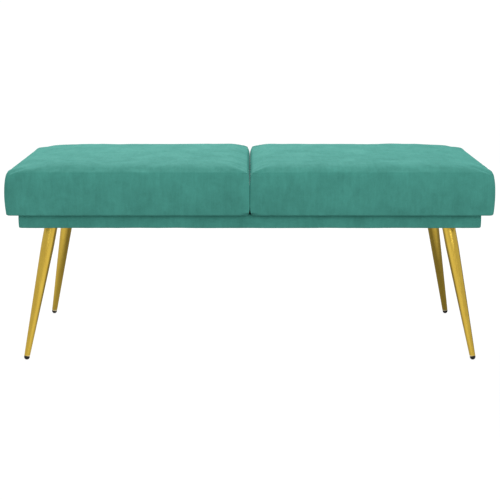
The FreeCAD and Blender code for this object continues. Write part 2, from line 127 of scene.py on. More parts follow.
class Net:
    """Short names for node making."""

    def __init__(self, tree):
        self.t = tree
        self.co = tree.nodes.new("ShaderNodeTexCoord").outputs["Object"]

    def link(self, a, b):
        self.t.links.new(a, b)

    def scaled(self, sx, sy, sz, loc=(0, 0, 0), rot=(0, 0, 0), src=None):
        n = self.t.nodes.new("ShaderNodeMapping")
        n.inputs["Location"].default_value = loc
        n.inputs["Rotation"].default_value = rot
        n.inputs["Scale"].default_value = (sx, sy, sz)
        self.link(src or self.co, n.inputs[0])
        return n.outputs[0]

    def noise(self, vec, scale, detail=2.0, rough=0.5, distort=0.0):
        n = self.t.nodes.new("ShaderNodeTexNoise")
        n.inputs["Scale"].default_value = scale
        n.inputs["Detail"].default_value = detail
        n.inputs["Roughness"].default_value = rough
        n.inputs["Distortion"].default_value = distort
        self.link(vec, n.inputs["Vector"])
        return n.outputs["Fac"]

    def voronoi(self, vec, scale, feature="F1"):
        n = self.t.nodes.new("ShaderNodeTexVoronoi")
        n.feature = feature
        n.inputs["Scale"].default_value = scale
        self.link(vec, n.inputs["Vector"])
        return n.outputs["Distance"]

    def wave(self, vec, scale, distort=0.0, detail=0.0, direction="X", kind="BANDS", dscale=1.0):
        n = self.t.nodes.new("ShaderNodeTexWave")
        n.wave_type = kind
        if kind == "BANDS":
            n.bands_direction = direction
        else:
            n.rings_direction = direction
        n.inputs["Scale"].default_value = scale
        n.inputs["Distortion"].default_value = distort
        n.inputs["Detail"].default_value = detail
        n.inputs["Detail Scale"].default_value = dscale
        self.link(vec, n.inputs["Vector"])
        return n.outputs["Fac"]

    def ramp(self, fac, stops, kind="LINEAR"):
        n = self.t.nodes.new("ShaderNodeValToRGB")
        n.color_ramp.interpolation = kind
        el = n.color_ramp.elements
        while len(el) > 1:
            el.remove(el[-1])
        el[0].position, el[0].color = stops[0][0], (*stops[0][1], 1) if len(stops[0][1]) == 3 else stops[0][1]
        for p, c in stops[1:]:
            e = el.new(p)
            e.color = (*c, 1) if len(c) == 3 else c
        self.link(fac, n.inputs[0])
        return n.outputs[0]

    def math(self, op, a, b=None, clamp=False):
        n = self.t.nodes.new("ShaderNodeMath")
        n.operation = op
        n.use_clamp = clamp
        for i, v in enumerate((a, b)):
            if v is None:
                continue
            if hasattr(v, "links"):
                self.link(v, n.inputs[i])
            else:
                n.inputs[i].default_value = v
        return n.outputs[0]

    def remap(self, fac, a, b, c, d):
        n = self.t.nodes.new("ShaderNodeMapRange")
        self.link(fac, n.inputs[0])
        for i, v in zip((1, 2, 3, 4), (a, b, c, d)):
            n.inputs[i].default_value = v
        return n.outputs[0]

    def mix(self, fac, a, b, blend="MIX"):
        n = self.t.nodes.new("ShaderNodeMix")
        n.data_type = "RGBA"
        n.blend_type = blend
        for i, v in ((0, fac), (6, a), (7, b)):
            if hasattr(v, "links"):
                self.link(v, n.inputs[i])
            elif i == 0:
                n.inputs[i].default_value = v
            else:
                n.inputs[i].default_value = (*v, 1)
        return n.outputs[2]

    def bump(self, height, strength, distance, normal=None):
        n = self.t.nodes.new("ShaderNodeBump")
        n.inputs["Strength"].default_value = strength
        n.inputs["Distance"].default_value = distance
        self.link(height, n.inputs["Height"])
        if normal is not None:
            self.link(normal, n.inputs["Normal"])
        return n.outputs[0]

    def facing_x(self):
        """1 on faces that look along the bench, 0 on the others."""
        g = self.t.nodes.new("ShaderNodeNewGeometry")
        s = self.t.nodes.new("ShaderNodeSeparateXYZ")
        self.link(g.outputs["True Normal"], s.inputs[0])
        return self.remap(self.math("ABSOLUTE", s.outputs[0]), 0.55, 0.8, 0.0, 1.0)


def velvet(name, deep, pale, seed):
    m, t, sh = material(name)
    n = Net(t)
    side = n.facing_x()
    off = (seed * 3.1, seed * 1.7, seed * 2.3)
    # brushed patches, from a hand's breadth down to a fingertip
    cloud = n.noise(n.scaled(1, 1, 1, off), 13.0, 3.0, 0.55, 0.6)
    patch = n.noise(n.scaled(1, 0.8, 0.8, off), 34.0, 3.0, 0.6, 0.8)
    # streaks that lie along the pile
    s1 = n.noise(n.scaled(150, 26, 26, off), 1.0, 3.0, 0.6, 0.5)
    s2 = n.noise(n.scaled(26, 150, 26, off), 1.0, 3.0, 0.6, 0.5)
    mixed = t.nodes.new("ShaderNodeMix")
    n.link(side, mixed.inputs[0]); n.link(s1, mixed.inputs[2]); n.link(s2, mixed.inputs[3])
    streak = mixed.outputs[0]
    fine = n.noise(n.scaled(1, 1, 1, off), 900.0, 2.0, 0.7)
    mid = n.noise(n.scaled(1, 1, 1, off), 260.0, 2.0, 0.6)
    tone = n.math("ADD", n.math("MULTIPLY", cloud, 0.40), n.math("MULTIPLY", patch, 0.26))
    tone = n.math("ADD", tone, n.math("MULTIPLY", streak, 0.22))
    tone = n.math("ADD", tone, n.math("MULTIPLY", mid, 0.12))
    col = n.ramp(tone, [(0.36, deep), (0.66, pale)])
    col = n.mix(n.remap(fine, 0.3, 0.7, 0.0, 0.16), col, tuple(c * 0.45 for c in deep))
    n.link(col, sh.inputs["Base Color"])
    n.link(n.remap(tone, 0.35, 0.65, 0.95, 0.78), sh.inputs["Roughness"])
    sh.inputs["Specular IOR Level"].default_value = 0.08
    sh.inputs["Sheen Weight"].default_value = 0.16
    sh.inputs["Sheen Roughness"].default_value = 0.36
    sh.inputs["Sheen Tint"].default_value = (0.20, 0.97, 0.88, 1)
    b = n.bump(fine, 0.35, 0.0005)
    b = n.bump(streak, 0.30, 0.0016, b)
    b = n.bump(patch, 0.22, 0.0045, b)
    n.link(b, sh.inputs["Normal"])
    return m


def gold(name):
    """Satin gold plating with faint lines along each leg and a little unevenness."""
    m, t, sh = material(name)
    n = Net(t)
    lines = n.noise(n.scaled(520, 520, 9), 1.0, 3.0, 0.6)
    broad = n.noise(n.scaled(60, 60, 5), 1.0, 2.0, 0.5)
    spots = n.noise(n.co, 240.0, 3.0, 0.6)
    base = n.mix(n.remap(lines, 0.3, 0.7, 0.0, 1.0), (0.61, 0.415, 0.058), (0.68, 0.480, 0.078))
    base = n.mix(n.remap(broad, 0.35, 0.65, 0.0, 0.4), base, (0.55, 0.345, 0.048))
    # painted highlight: the lowest few millimetres of each tube, round its rolled rim, are painted paler and brighter,
    # as if catching the light
    sep = t.nodes.new("ShaderNodeSeparateXYZ")
    n.link(n.co, sep.inputs[0])
    ring = n.ramp(n.remap(sep.outputs[2], 0.0, 0.030, 0.0, 1.0), [(0.0, (1, 1, 1)), (0.30, (1, 1, 1)), (0.36, (0, 0, 0))])
    base = n.mix(ring, base, (0.93, 0.80, 0.50))
    n.link(base, sh.inputs["Base Color"])
    sh.inputs["Metallic"].default_value = 1.0
    rough = n.math("ADD", n.remap(lines, 0.3, 0.7, 0.17, 0.22), n.remap(spots, 0.4, 0.8, 0.0, 0.03))
    n.link(rough, sh.inputs["Roughness"])
    b = n.bump(lines, 0.05, 0.0002)
    b = n.bump(spots, 0.02, 0.0002, b)
    n.link(b, sh.inputs["Normal"])
    return m


def zinc(name):
    m, t, sh = material(name)
    n = Net(t)
    cells = n.voronoi(n.co, 420.0)
    spots = n.noise(n.co, 700.0, 3.0, 0.6)
    n.link(n.mix(n.remap(cells, 0.1, 0.8, 0.0, 1.0), (0.50, 0.52, 0.55), (0.66, 0.67, 0.69)), sh.inputs["Base Color"])
    sh.inputs["Metallic"].default_value = 1.0
    n.link(n.remap(spots, 0.3, 0.7, 0.22, 0.42), sh.inputs["Roughness"])
    n.link(n.bump(spots, 0.2, 0.0001), sh.inputs["Normal"])
    return m


def plastic(name):
    m, t, sh = material(name)
    n = Net(t)
    grain = n.noise(n.co, 1500.0, 2.0, 0.6)
    scuff = n.noise(n.scaled(1, 1, 1), 180.0, 4.0, 0.65)
    n.link(n.mix(n.remap(scuff, 0.52, 0.75, 0.0, 0.6), (0.0045, 0.0045, 0.005), (0.020, 0.020, 0.021)), sh.inputs["Base Color"])
    n.link(n.remap(scuff, 0.35, 0.7, 0.38, 0.62), sh.inputs["Roughness"])
    sh.inputs["Specular IOR Level"].default_value = 0.3
    n.link(n.bump(grain, 0.25, 0.00015), sh.inputs["Normal"])
    return m


def timber(name, dark, light, ring_scale=60.0):
    """Planed softwood or beech: growth rings and fibre streaks, laid the same way in space on every piece."""
    m, t, sh = material(name)
    n = Net(t)
    rings = n.wave(n.scaled(0.35, 1.0, 2.2), ring_scale, 6.0, 3.0, "DIAGONAL", "BANDS", 0.6)
    fibre = n.noise(n.scaled(14, 260, 260), 1.0, 3.0, 0.6)
    fac = n.math("ADD", n.math("MULTIPLY", rings, 0.6), n.math("MULTIPLY", fibre, 0.4))
    n.link(n.ramp(fac, [(0.2, light), (0.62, tuple((a + b) / 2 for a, b in zip(dark, light))), (0.9, dark)]), sh.inputs["Base Color"])
    n.link(n.remap(fibre, 0.3, 0.7, 0.55, 0.75), sh.inputs["Roughness"])
    n.link(n.bump(fac, 0.25, 0.0004), sh.inputs["Normal"])
    return m


def plywood(name):
    """Birch-faced board: rotary-cut grain on the faces, thin dark glue lines on the edges."""
    m, t, sh = material(name)
    n = Net(t)
    grain = n.noise(n.scaled(5, 60, 30), 1.0, 4.0, 0.6, 1.4)
    fibre = n.noise(n.scaled(30, 700, 200), 1.0, 2.0, 0.6)
    plies = n.wave(n.scaled(0.0, 0.0, 1.0), 75.0, 0.2, 0.0, "Z")
    face = n.ramp(n.math("ADD", n.math("MULTIPLY", grain, 0.7), n.math("MULTIPLY", fibre, 0.3)), [(0.3, (0.70, 0.52, 0.32)), (0.7, (0.56, 0.38, 0.20))])
    edge = n.ramp(plies, [(0.10, (0.20, 0.11, 0.05)), (0.22, (0.62, 0.44, 0.25)), (0.8, (0.70, 0.52, 0.31))])
    g = t.nodes.new("ShaderNodeNewGeometry")
    s = t.nodes.new("ShaderNodeSeparateXYZ")
    n.link(g.outputs["True Normal"], s.inputs[0])
    n.link(n.mix(n.remap(n.math("ABSOLUTE", s.outputs[2]), 0.5, 0.7, 0.0, 1.0), edge, face), sh.inputs["Base Color"])
    n.link(n.remap(fibre, 0.3, 0.7, 0.6, 0.8), sh.inputs["Roughness"])
    n.link(n.bump(fibre, 0.2, 0.0003), sh.inputs["Normal"])
    return m


def foam(name):
    m, t, sh = material(name)
    n = Net(t)
    cells = n.voronoi(n.co, 900.0)
    broad = n.noise(n.co, 9.0, 3.0)
    n.link(n.mix(n.remap(cells, 0.0, 0.6, 0.0, 1.0), (0.52, 0.45, 0.28), n.ramp(broad, [(0.35, (0.82, 0.75, 0.52)), (0.65, (0.88, 0.83, 0.64))])), sh.inputs["Base Color"])
    sh.inputs["Roughness"].default_value = 0.95
    n.link(n.bump(cells, 0.5, 0.0008), sh.inputs["Normal"])
    return m


def wadding(name):
    m, t, sh = material(name)
    n = Net(t)
    tuft = n.noise(n.scaled(1, 1, 1), 160.0, 5.0, 0.7, 1.5)
    loft = n.noise(n.co, 28.0, 3.0, 0.5)
    n.link(n.ramp(tuft, [(0.3, (0.70, 0.70, 0.69)), (0.6, (0.90, 0.90, 0.89))]), sh.inputs["Base Color"])
    sh.inputs["Roughness"].default_value = 0.95
    sh.inputs["Sheen Weight"].default_value = 0.3
    b = n.bump(tuft, 0.5, 0.0015)
    n.link(n.bump(loft, 0.3, 0.006, b), sh.inputs["Normal"])
    return m


def lining(name):
    """Black spun-bonded cloth: tiny bond points in rows, stray fibres, faint creases."""
    m, t, sh = material(name)
    n = Net(t)
    a = n.wave(n.scaled(1, 1, 0, rot=(0, 0, math.radians(45))), 330.0, 0.0, 0.0, "X")
    b = n.wave(n.scaled(1, 1, 0, rot=(0, 0, math.radians(45))), 330.0, 0.0, 0.0, "Y")
    dots = n.math("MULTIPLY", a, b)
    fibre = n.noise(n.scaled(1, 1, 1), 520.0, 5.0, 0.75, 2.0)
    crease = n.noise(n.scaled(1, 1, 1), 14.0, 3.0, 0.55, 1.0)
    tone = n.math("ADD", n.math("MULTIPLY", fibre, 0.6), n.math("MULTIPLY", crease, 0.4))
    col = n.ramp(tone, [(0.35, (0.010, 0.010, 0.011)), (0.65, (0.026, 0.026, 0.028))])
    n.link(n.mix(n.remap(dots, 0.55, 0.8, 0.0, 0.55), col, (0.006, 0.006, 0.006)), sh.inputs["Base Color"])
    n.link(n.remap(dots, 0.5, 0.8, 0.85, 0.55), sh.inputs["Roughness"])
    h = n.bump(dots, 0.3, 0.0003)
    h = n.bump(fibre, 0.25, 0.0004, h)
    n.link(n.bump(crease, 0.2, 0.004, h), sh.inputs["Normal"])
    return m


TEAL_DEEP, TEAL_PALE = (0.058, 0.262, 0.215), (0.084, 0.368, 0.305)
M = {
    "velvet": velvet("velvet_pad_left", TEAL_DEEP, TEAL_PALE, 1.0),
    "velvet_right": velvet("velvet_pad_right", TEAL_DEEP, TEAL_PALE, 2.0),
    "velvet_band": velvet("velvet_band", TEAL_DEEP, TEAL_PALE, 3.0),
    "foam": foam("foam"),
    "wadding": wadding("wadding"),
    "plywood": plywood("plywood"),
    "pine": timber("pine", (0.50, 0.30, 0.13), (0.78, 0.60, 0.36)),
    "beech_dowel": timber("beech", (0.52, 0.33, 0.18), (0.72, 0.52, 0.33), 120.0),
    "lining_cloth": lining("lining_cloth"),
    "gold_metal": gold("gold_metal"),
    "zinc_steel": zinc("zinc_steel"),
    "black_plastic": plastic("black_plastic"),
}
SLOT = {s["node"]: s["material_slot"] for s in frame["record"]["subparts"]}
for name, ob in NODES.items():
    for s in ob.material_slots:
        s.material = M[SLOT[name]]


# ------------------------------------------------------------------ seat pads
def near_lines(fine):
    if fine:
        return [0, 0.5, 1.1, 1.9, 3.0, 4.4, 6.0, 8.0, 10.0, 12.0, 14.5, 17.0, 20.0, 23.5, 27.5, 31.5, 36.0, 40.5, 45.0]
    return [0, 3.0, 7.0, 12.0, 20.0, 28.0, 36.0, 45.0]


def grid_lines(total, step, fine, extra=()):
    n = near_lines(fine)
    k = int(round((total - 2 * n[-1]) / step))
    mid = [n[-1] + (total - 2 * n[-1]) * i / k for i in range(1, k)]
    if extra:
        mid = [v for v in mid if min(abs(v - e) for e in extra) > step * 0.45] + list(extra)
    return np.array(sorted(n + mid + [total - v for v in n]))


def near_rise(d, reach=50.0):
    return 1 - (1 - np.clip(d / reach, 0, 1)) ** 2.2


def end_rise(d):
    return smooth(d / 134.0)


class Pad:
    """A box cushion as one closed grid: top, four sides and bottom, in mm, inner end at a = 0."""

    def __init__(self, fine):
        self.fine = fine
        mid = LENGTH / 2
        self.a = grid_lines(LENGTH, 4.4 if fine else 9.0, fine, (mid - 3.4, mid - 1.6, mid - 0.6, mid + 0.6, mid + 1.6, mid + 3.4) if fine else ())
        self.b = grid_lines(WIDTH, 4.4 if fine else 9.0, fine)
        na, nb = len(self.a), len(self.b)
        self.na, self.nb = na, nb
        loop = [(i, 0) for i in range(na)] + [(na - 1, j) for j in range(1, nb)] + [(i, nb - 1) for i in range(na - 2, -1, -1)] + [(0, j) for j in range(nb - 2, 0, -1)]
        self.loop = np.array(loop)
        top = np.arange(na * nb).reshape(na, nb)
        if fine:
            upper = [0.5, 1.1, 1.9, 3.0, 4.6, 6.6, 9.0, 12.0]
            step = 4.3
        else:
            upper = [3.0, 9.0]
            step = 8.5
        height = SEAM_Z - PAD_Z
        k = int(round((height - upper[-1] - 8.0) / step))
        down = upper + [upper[-1] + (height - 8.0 - upper[-1]) * i / k for i in range(1, k + 1)]
        # side rows as a fraction of the way from the seam down to where the lower rounding starts
        self.rows = np.array(down) / (height - 8.0)
        nr, nl = len(self.rows) - 1, len(loop)
        first = na * nb
        rows = [top[self.loop[:, 0], self.loop[:, 1]]]
        for r in range(nr):
            rows.append(first + r * nl + np.arange(nl))
        low = first + nr * nl + np.arange(na * nb).reshape(na, nb)
        rows.append(low[self.loop[:, 0], self.loop[:, 1]])
        q = []
        t = top
        q.append(np.stack([t[:-1, :-1], t[1:, :-1], t[1:, 1:], t[:-1, 1:]], -1).reshape(-1, 4))
        for u, v in zip(rows[:-1], rows[1:]):
            q.append(np.stack([u, v, np.roll(v, -1), np.roll(u, -1)], -1))
        t = low
        q.append(np.stack([t[:-1, :-1], t[:-1, 1:], t[1:, 1:], t[1:, :-1]], -1).reshape(-1, 4))
        self.quads = np.concatenate(q)
        self.top, self.rows_index, self.low = top, rows, low
        self.count = first + nr * nl + na * nb

    def plan(self, a, b, r_in, r_out, inset):
        """Rectangle coordinates to plan position: the grid's rings become arcs at the corners."""
        x, y = a.copy(), b.copy()
        for xs, r in ((0, r_in), (1, r_out)):
            for ys in (0, 1):
                dx = a if xs == 0 else LENGTH - a
                dy = b if ys == 0 else WIDTH - b
                m = (dx < r) & (dy < r)
                d, e = np.minimum(dx, dy)[m], np.maximum(dx, dy)[m]
                t = np.where(r - d > 1e-9, (e - d) / np.maximum(r - d, 1e-9), 0)
                along_x = (dx < dy)[m]                     # nearer to the end than to the side
                ang = np.where(along_x, math.pi / 4 * (1 - t), math.pi / 4 * (1 + t))
                cx, cy = r - (r - d) * np.cos(ang), r - (r - d) * np.sin(ang)
                x[m] = cx if xs == 0 else LENGTH - cx
                y[m] = cy if ys == 0 else WIDTH - cy
        if inset:
            cx, cy = LENGTH / 2, WIDTH / 2
            x = cx + (x - cx) * (1 - 2 * inset / LENGTH)
            y = cy + (y - cy) * (1 - 2 * inset / WIDTH)
        return x, y

    def shape(self, inset=0.0, drop=0.0, r_in=2.0, r_out=12.0):
        """Positions with the inner end at x = PAD_GAP.  inset takes the sides in and drop lowers the crown.
        The corners are rounder at the seam than lower down."""
        P = np.zeros((self.count, 3))
        A, B = np.meshgrid(self.a, self.b, indexing="ij")
        A, B = A.ravel(), B.ravel()
        x, y = self.plan(A, B, r_in, r_out, inset)
        xt, yt = self.plan(A, B, 7.0, 22.0, inset)
        ring = np.minimum.reduce([A, LENGTH - A, B, WIDTH - B])
        edge = np.sqrt(np.clip(1 - (1 - np.clip(ring / 8.0, 0, 1)) ** 2, 0, 1))
        f = (1 - (1 - np.clip(A / 64.0, 0, 1)) ** 2.4) * end_rise(LENGTH - A) * (1 - (1 - np.clip(B / 80.0, 0, 1)) ** 2.5) * near_rise(WIDTH - B)
        n = self.na * self.nb
        P[:n] = np.stack([xt, yt, SEAM_Z + 3.6 * edge + (CROWN - 3.6 - drop) * f], -1)
        sink = 4.4 * np.exp(-((LENGTH - A) ** 2 + np.minimum(B, WIDTH - B) ** 2) / 24.0 ** 2)
        P[:n, 2] -= sink
        top_inset = np.exp(-(ring / 6.0) ** 1.5) * 1.2 * smooth(A / 30.0)
        P[:n, 0] += top_inset * np.clip((LENGTH / 2 - xt) / 60.0, -1, 1) * (np.minimum(A, LENGTH - A) < 30)
        P[:n, 1] += top_inset * np.clip((WIDTH / 2 - yt) / 60.0, -1, 1) * (np.minimum(B, WIDTH - B) < 30)
        # the outward direction round the edge
        L = self.loop
        ix = L[:, 0] * self.nb + L[:, 1]
        px, py = x[ix], y[ix]
        tx, ty = np.roll(px, -1) - np.roll(px, 1), np.roll(py, -1) - np.roll(py, 1)
        ln = np.hypot(tx, ty)
        nx, ny = ty / ln, -tx / ln
        inner = smooth((-nx - 0.2) / 0.7)
        bulge = 2.2 * (1 - inner) + 1.0 * inner
        low_r = 4.0 * (1 - inner) + 8.0 * inner
        drop_to = PAD_Z + low_r
        first, nl = n, len(ix)
        for r, u in enumerate(self.rows[:-1]):
            o = bulge * 4 * u * (1 - u) * 1.0 + 0.0
            z = SEAM_Z + (drop_to - SEAM_Z) * u
            w = np.exp(-((SEAM_Z - z) / 15.0) ** 1.4)
            qx, qy = px + (xt[ix] - px) * w, py + (yt[ix] - py) * w
            z = z - sink[ix] * w
            tuck = 1.2 * (1 - inner) * np.exp(-((SEAM_Z - z) / 7.0) ** 1.5)
            P[first + r * nl: first + (r + 1) * nl] = np.stack([qx + nx * (o - tuck), qy + ny * (o - tuck), z], -1)
        low = self.low.ravel()[0]
        lr = np.full(n, 4.0)
        lr = np.where(A < 30, 4.0 + 4.0 * (1 - smooth(A / 30.0)), lr)
        round_low = lr * (1 - np.sqrt(np.clip(1 - (1 - np.clip(ring / lr, 0, 1)) ** 2, 0, 1)))
        P[low:low + n] = np.stack([x, y, PAD_Z + round_low], -1)
        # the lower edge of the sides meets the rounding at its own height
        li = self.low[L[:, 0], L[:, 1]]
        P[li, 2] = drop_to
        P[:, 0] += PAD_GAP
        P[:, 1] -= PAD_HALF_Y
        return P

    def carry(self, coarse, D):
        """Brings a displacement known on the coarse pad to this one, face by face."""
        out = np.zeros((self.count, 3))

        def weights(src, dst):
            i = np.clip(np.searchsorted(src, dst, side="right") - 1, 0, len(src) - 2)
            return i, (dst - src[i]) / (src[i + 1] - src[i])

        ia, wa = weights(coarse.a, self.a)
        ib, wb = weights(coarse.b, self.b)
        for mine, theirs in ((self.top, coarse.top), (self.low, coarse.low)):
            g = D[theirs]
            r = g[ia] * (1 - wa)[:, None, None] + g[ia + 1] * wa[:, None, None]
            s = r[:, ib] * (1 - wb)[None, :, None] + r[:, ib + 1] * wb[None, :, None]
            out[mine] = s

        def loop_place(pad):
            a, b = pad.a[pad.loop[:, 0]], pad.b[pad.loop[:, 1]]
            return np.concatenate([[0], np.cumsum(np.abs(np.diff(a)) + np.abs(np.diff(b)))])

        sc, sm = loop_place(coarse), loop_place(self)
        sc = np.concatenate([sc, [2 * (LENGTH + WIDTH)]])
        k, w = weights(sc, sm)
        table = np.stack([np.concatenate([D[r], D[r][:1]])[k] * (1 - w)[:, None] + np.concatenate([D[r], D[r][:1]])[k + 1] * w[:, None] for r in coarse.rows_index])
        uc = np.concatenate([[0], coarse.rows])
        for r, u in enumerate(self.rows[:-1]):
            i, v = weights(uc, np.array([u]))
            out[self.rows_index[r + 1]] = table[i[0]] * (1 - v[0]) + table[i[0] + 1] * v[0]
        return out


def swell(pad, P, seed):
    """Cloth with pressure inside, its underside held by the board: returns how far each point moves, in mm."""
    me = bpy.data.meshes.new("swell")
    me.from_pydata((P * MM).tolist(), [], pad.quads.tolist())
    ob = bpy.data.objects.new("swell", me)
    bpy.context.collection.objects.link(ob)
    held = ob.vertex_groups.new(name="held")
    held.add([int(i) for i in pad.low.ravel()], 1.0, "REPLACE")
    held.add([int(i) for i in pad.rows_index[0]], 0.35, "REPLACE")
    mod = ob.modifiers.new("cloth", "CLOTH")
    s = mod.settings
    s.quality = 6
    s.mass = 0.3
    s.tension_stiffness = s.compression_stiffness = 30
    s.shear_stiffness = 12
    s.bending_stiffness = 2.0
    s.use_pressure = True
    s.uniform_pressure_force = 4.0
    s.vertex_group_mass = "held"
    s.effector_weights.gravity = 0
    mod.collision_settings.use_collision = False
    mod.point_cache.frame_start, mod.point_cache.frame_end = 1, 20
    for f in range(1, 21):
        bpy.context.scene.frame_set(f)
    ev = ob.evaluated_get(bpy.context.evaluated_depsgraph_get())
    got = np.zeros(len(me.vertices) * 3)
    ev.data.vertices.foreach_get("co", got)
    D = got.reshape(-1, 3) / MM - P
    bpy.data.objects.remove(ob)
    bpy.data.meshes.remove(me)
    bpy.context.scene.frame_set(1)
    size = np.linalg.norm(D, axis=1)
    print("swell: largest %.2f mm, top middle %.2f, side middle %.2f" % (size.max(), D[pad.top[pad.na // 2, pad.nb // 2], 2], abs(D[pad.rows_index[len(pad.rows) // 2][pad.na // 2], 1])))
    # the filling holds the cover back more and more: a few millimetres is all it gives
    cap = 5.0
    return D * (cap * (1 - np.exp(-size / cap)) / np.maximum(size, 1e-9))[:, None], size


coarse, fine = Pad(False), Pad(True)
INSET, DROP = 1.6, 1.9
start = coarse.shape(INSET, DROP)
moved, _ = swell(coarse, start, 1)


def make_pad(side, tag, seed):
    P = fine.shape(INSET, DROP) + fine.carry(coarse, moved)
    N = vertex_normals(P, fine.quads)
    A, B = np.meshgrid(fine.a, fine.b, indexing="ij")
    n = fine.na * fine.nb
    ring = np.minimum.reduce([A, LENGTH - A, B, WIDTH - B]).ravel()
    # distance from the seam, over the surface
    away = np.full(fine.count, 1e3)
    away[:n] = ring * 1.1
    for r, u in enumerate(fine.rows[:-1]):
        away[fine.rows_index[r + 1]] = u * (SEAM_Z - PAD_Z - 8.0)
    is_top = np.zeros(fine.count, bool)
    is_top[:n] = True
    # soft unevenness of hand-laid filling, stronger on top
    lump = waves(10 + seed, 26, 190.0, 55.0)(P)
    dimple = waves(30 + seed, 30, 46.0, 22.0)(P)
    amount = np.where(is_top, 0.50, 0.42)
    flat_under = np.zeros(fine.count)
    flat_under[fine.low.ravel()] = 1.0
    keep = 1 - flat_under
    P = P + N * (amount * lump * keep * smooth(away / 14.0))[:, None]
    P = P + N * (0.10 * dimple * keep)[:, None]
    # the seam: a fine groove, drawn in unevenly, with short puckers that fade away from it
    pull = waves(50 + seed, 40, 30.0, 9.0, (1, 1, 0.1))(P)
    pucker = waves(70 + seed, 40, 15.0, 6.5, (1, 1, 0.08))(P)
    groove = -(0.80 + 0.18 * pull) * np.exp(-(away / 1.15) ** 2) - 0.25 * np.exp(-(away / 5.5) ** 2)
    fade = np.exp(-(away / 8.0) ** 1.5) * (1 - np.exp(-(away / 1.2) ** 2))
    P = P + N * ((groove + 0.16 * pucker * fade) * keep)[:, None]
    # the two pads lean on each other: each row of the inner side is brought to its place
    near = 1 - smooth(P[:, 0] / 90.0)
    at_end = fine.loop[:, 0] == 0
    for r, row in enumerate(fine.rows_index):
        m = row[at_end]
        m = m[np.abs(P[m, 1]) < 233]
        m = m[np.argsort(P[m, 1])]
        z = np.median(P[m, 2])
        goal = -1.6 + 8.1 * math.exp(-max(0.0, SEAM_Z - z) / 11.0) + 6.2 * max(0.0, 1 - (z - PAD_Z) / 30.0) ** 2.0
        if r == 0:
            hit = fine.top.ravel()
        elif r == len(fine.rows_index) - 1:
            hit = fine.low.ravel()
        else:
            hit = row
        P[hit, 0] -= (np.interp(P[hit, 1], P[m, 1], P[m, 0]) - goal) * near[hit]
    P[:, 0] = np.where(P[:, 0] < 0.8, 0.04 + 0.76 * np.exp((np.minimum(P[:, 0], 0.8) - 0.8) / 0.76), P[:, 0])
    # one joining seam of the side panel, at the back
    if True:
        mid = LENGTH / 2
        back = (P[:, 1] > 0) & (np.abs(N[:, 1]) > 0.6) & (~is_top) & (flat_under < 0.5)
        dx = P[:, 0] - PAD_GAP - mid
        g = -0.95 * np.exp(-(dx / 0.9) ** 2) + 0.18 * np.exp(-((np.abs(dx) - 3.0) / 1.6) ** 2)
        P = P + N * np.where(back, g, 0)[:, None]
    Q = fine.quads
    if side < 0:
        P = P * np.array([-1, 1, 1])
        Q = Q[:, ::-1]
    ob = new_mesh("pad_cover_%s" % tag, P, Q, M["velvet" if side < 0 else "velvet_right"])
    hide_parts("seat_cover_%s" % tag)
    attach(ob, "root")
    # the wadding under it
    W = coarse.shape(INSET + 2.6, DROP + 1.0) + moved
    W[:, 2] = np.where(W[:, 2] > 400, W[:, 2] - 1.8, W[:, 2])
    W[coarse.low.ravel(), 2] = np.maximum(W[coarse.low.ravel(), 2], PAD_Z + 1.6)
    W = W + vertex_normals(W, coarse.quads) * (0.25 * waves(90 + seed, 30, 60, 24)(W) * (W[:, 2] > PAD_Z + 8))[:, None]
    Q = coarse.quads
    if side < 0:
        W = W * np.array([-1, 1, 1])
        Q = Q[:, ::-1]
    wob = new_mesh("pad_wadding_%s" % tag, W, Q, M["wadding"])
    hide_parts("seat_wadding_%s" % tag)
    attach(wob, "root")
    return ob


pads = [make_pad(-1, "left", 1), make_pad(1, "right", 2)]


# ------------------------------------------------------------------ velvet band round the base
def round_loop(hx, hy, r, step, corner_n=9):
    """Points and outward directions round a rounded rectangle, anticlockwise from the middle of the front."""
    pts, nrm = [], []

    def straight(p, q, n):
        k = max(1, int(round(math.hypot(q[0] - p[0], q[1] - p[1]) / step)))
        for i in range(k):
            pts.append((p[0] + (q[0] - p[0]) * i / k, p[1] + (q[1] - p[1]) * i / k))
            nrm.append(n)

    def corner(cx, cy, a0):
        for i in range(corner_n):
            a = math.radians(a0 + 90.0 * i / corner_n)
            pts.append((cx + r * math.cos(a), cy + r * math.sin(a)))
            nrm.append((math.cos(a), math.sin(a)))

    straight((0, -hy), (hx - r, -hy), (0, -1)); corner(hx - r, -hy + r, -90)
    straight((hx, -hy + r), (hx, hy - r), (1, 0)); corner(hx - r, hy - r, 0)
    straight((hx - r, hy), (-hx + r, hy), (0, 1)); corner(-hx + r, hy - r, 90)
    straight((-hx, hy - r), (-hx, -hy + r), (-1, 0)); corner(-hx + r, -hy + r, 180)
    straight((-hx + r, -hy), (0, -hy), (0, -1))
    return np.array(pts), np.array(nrm)


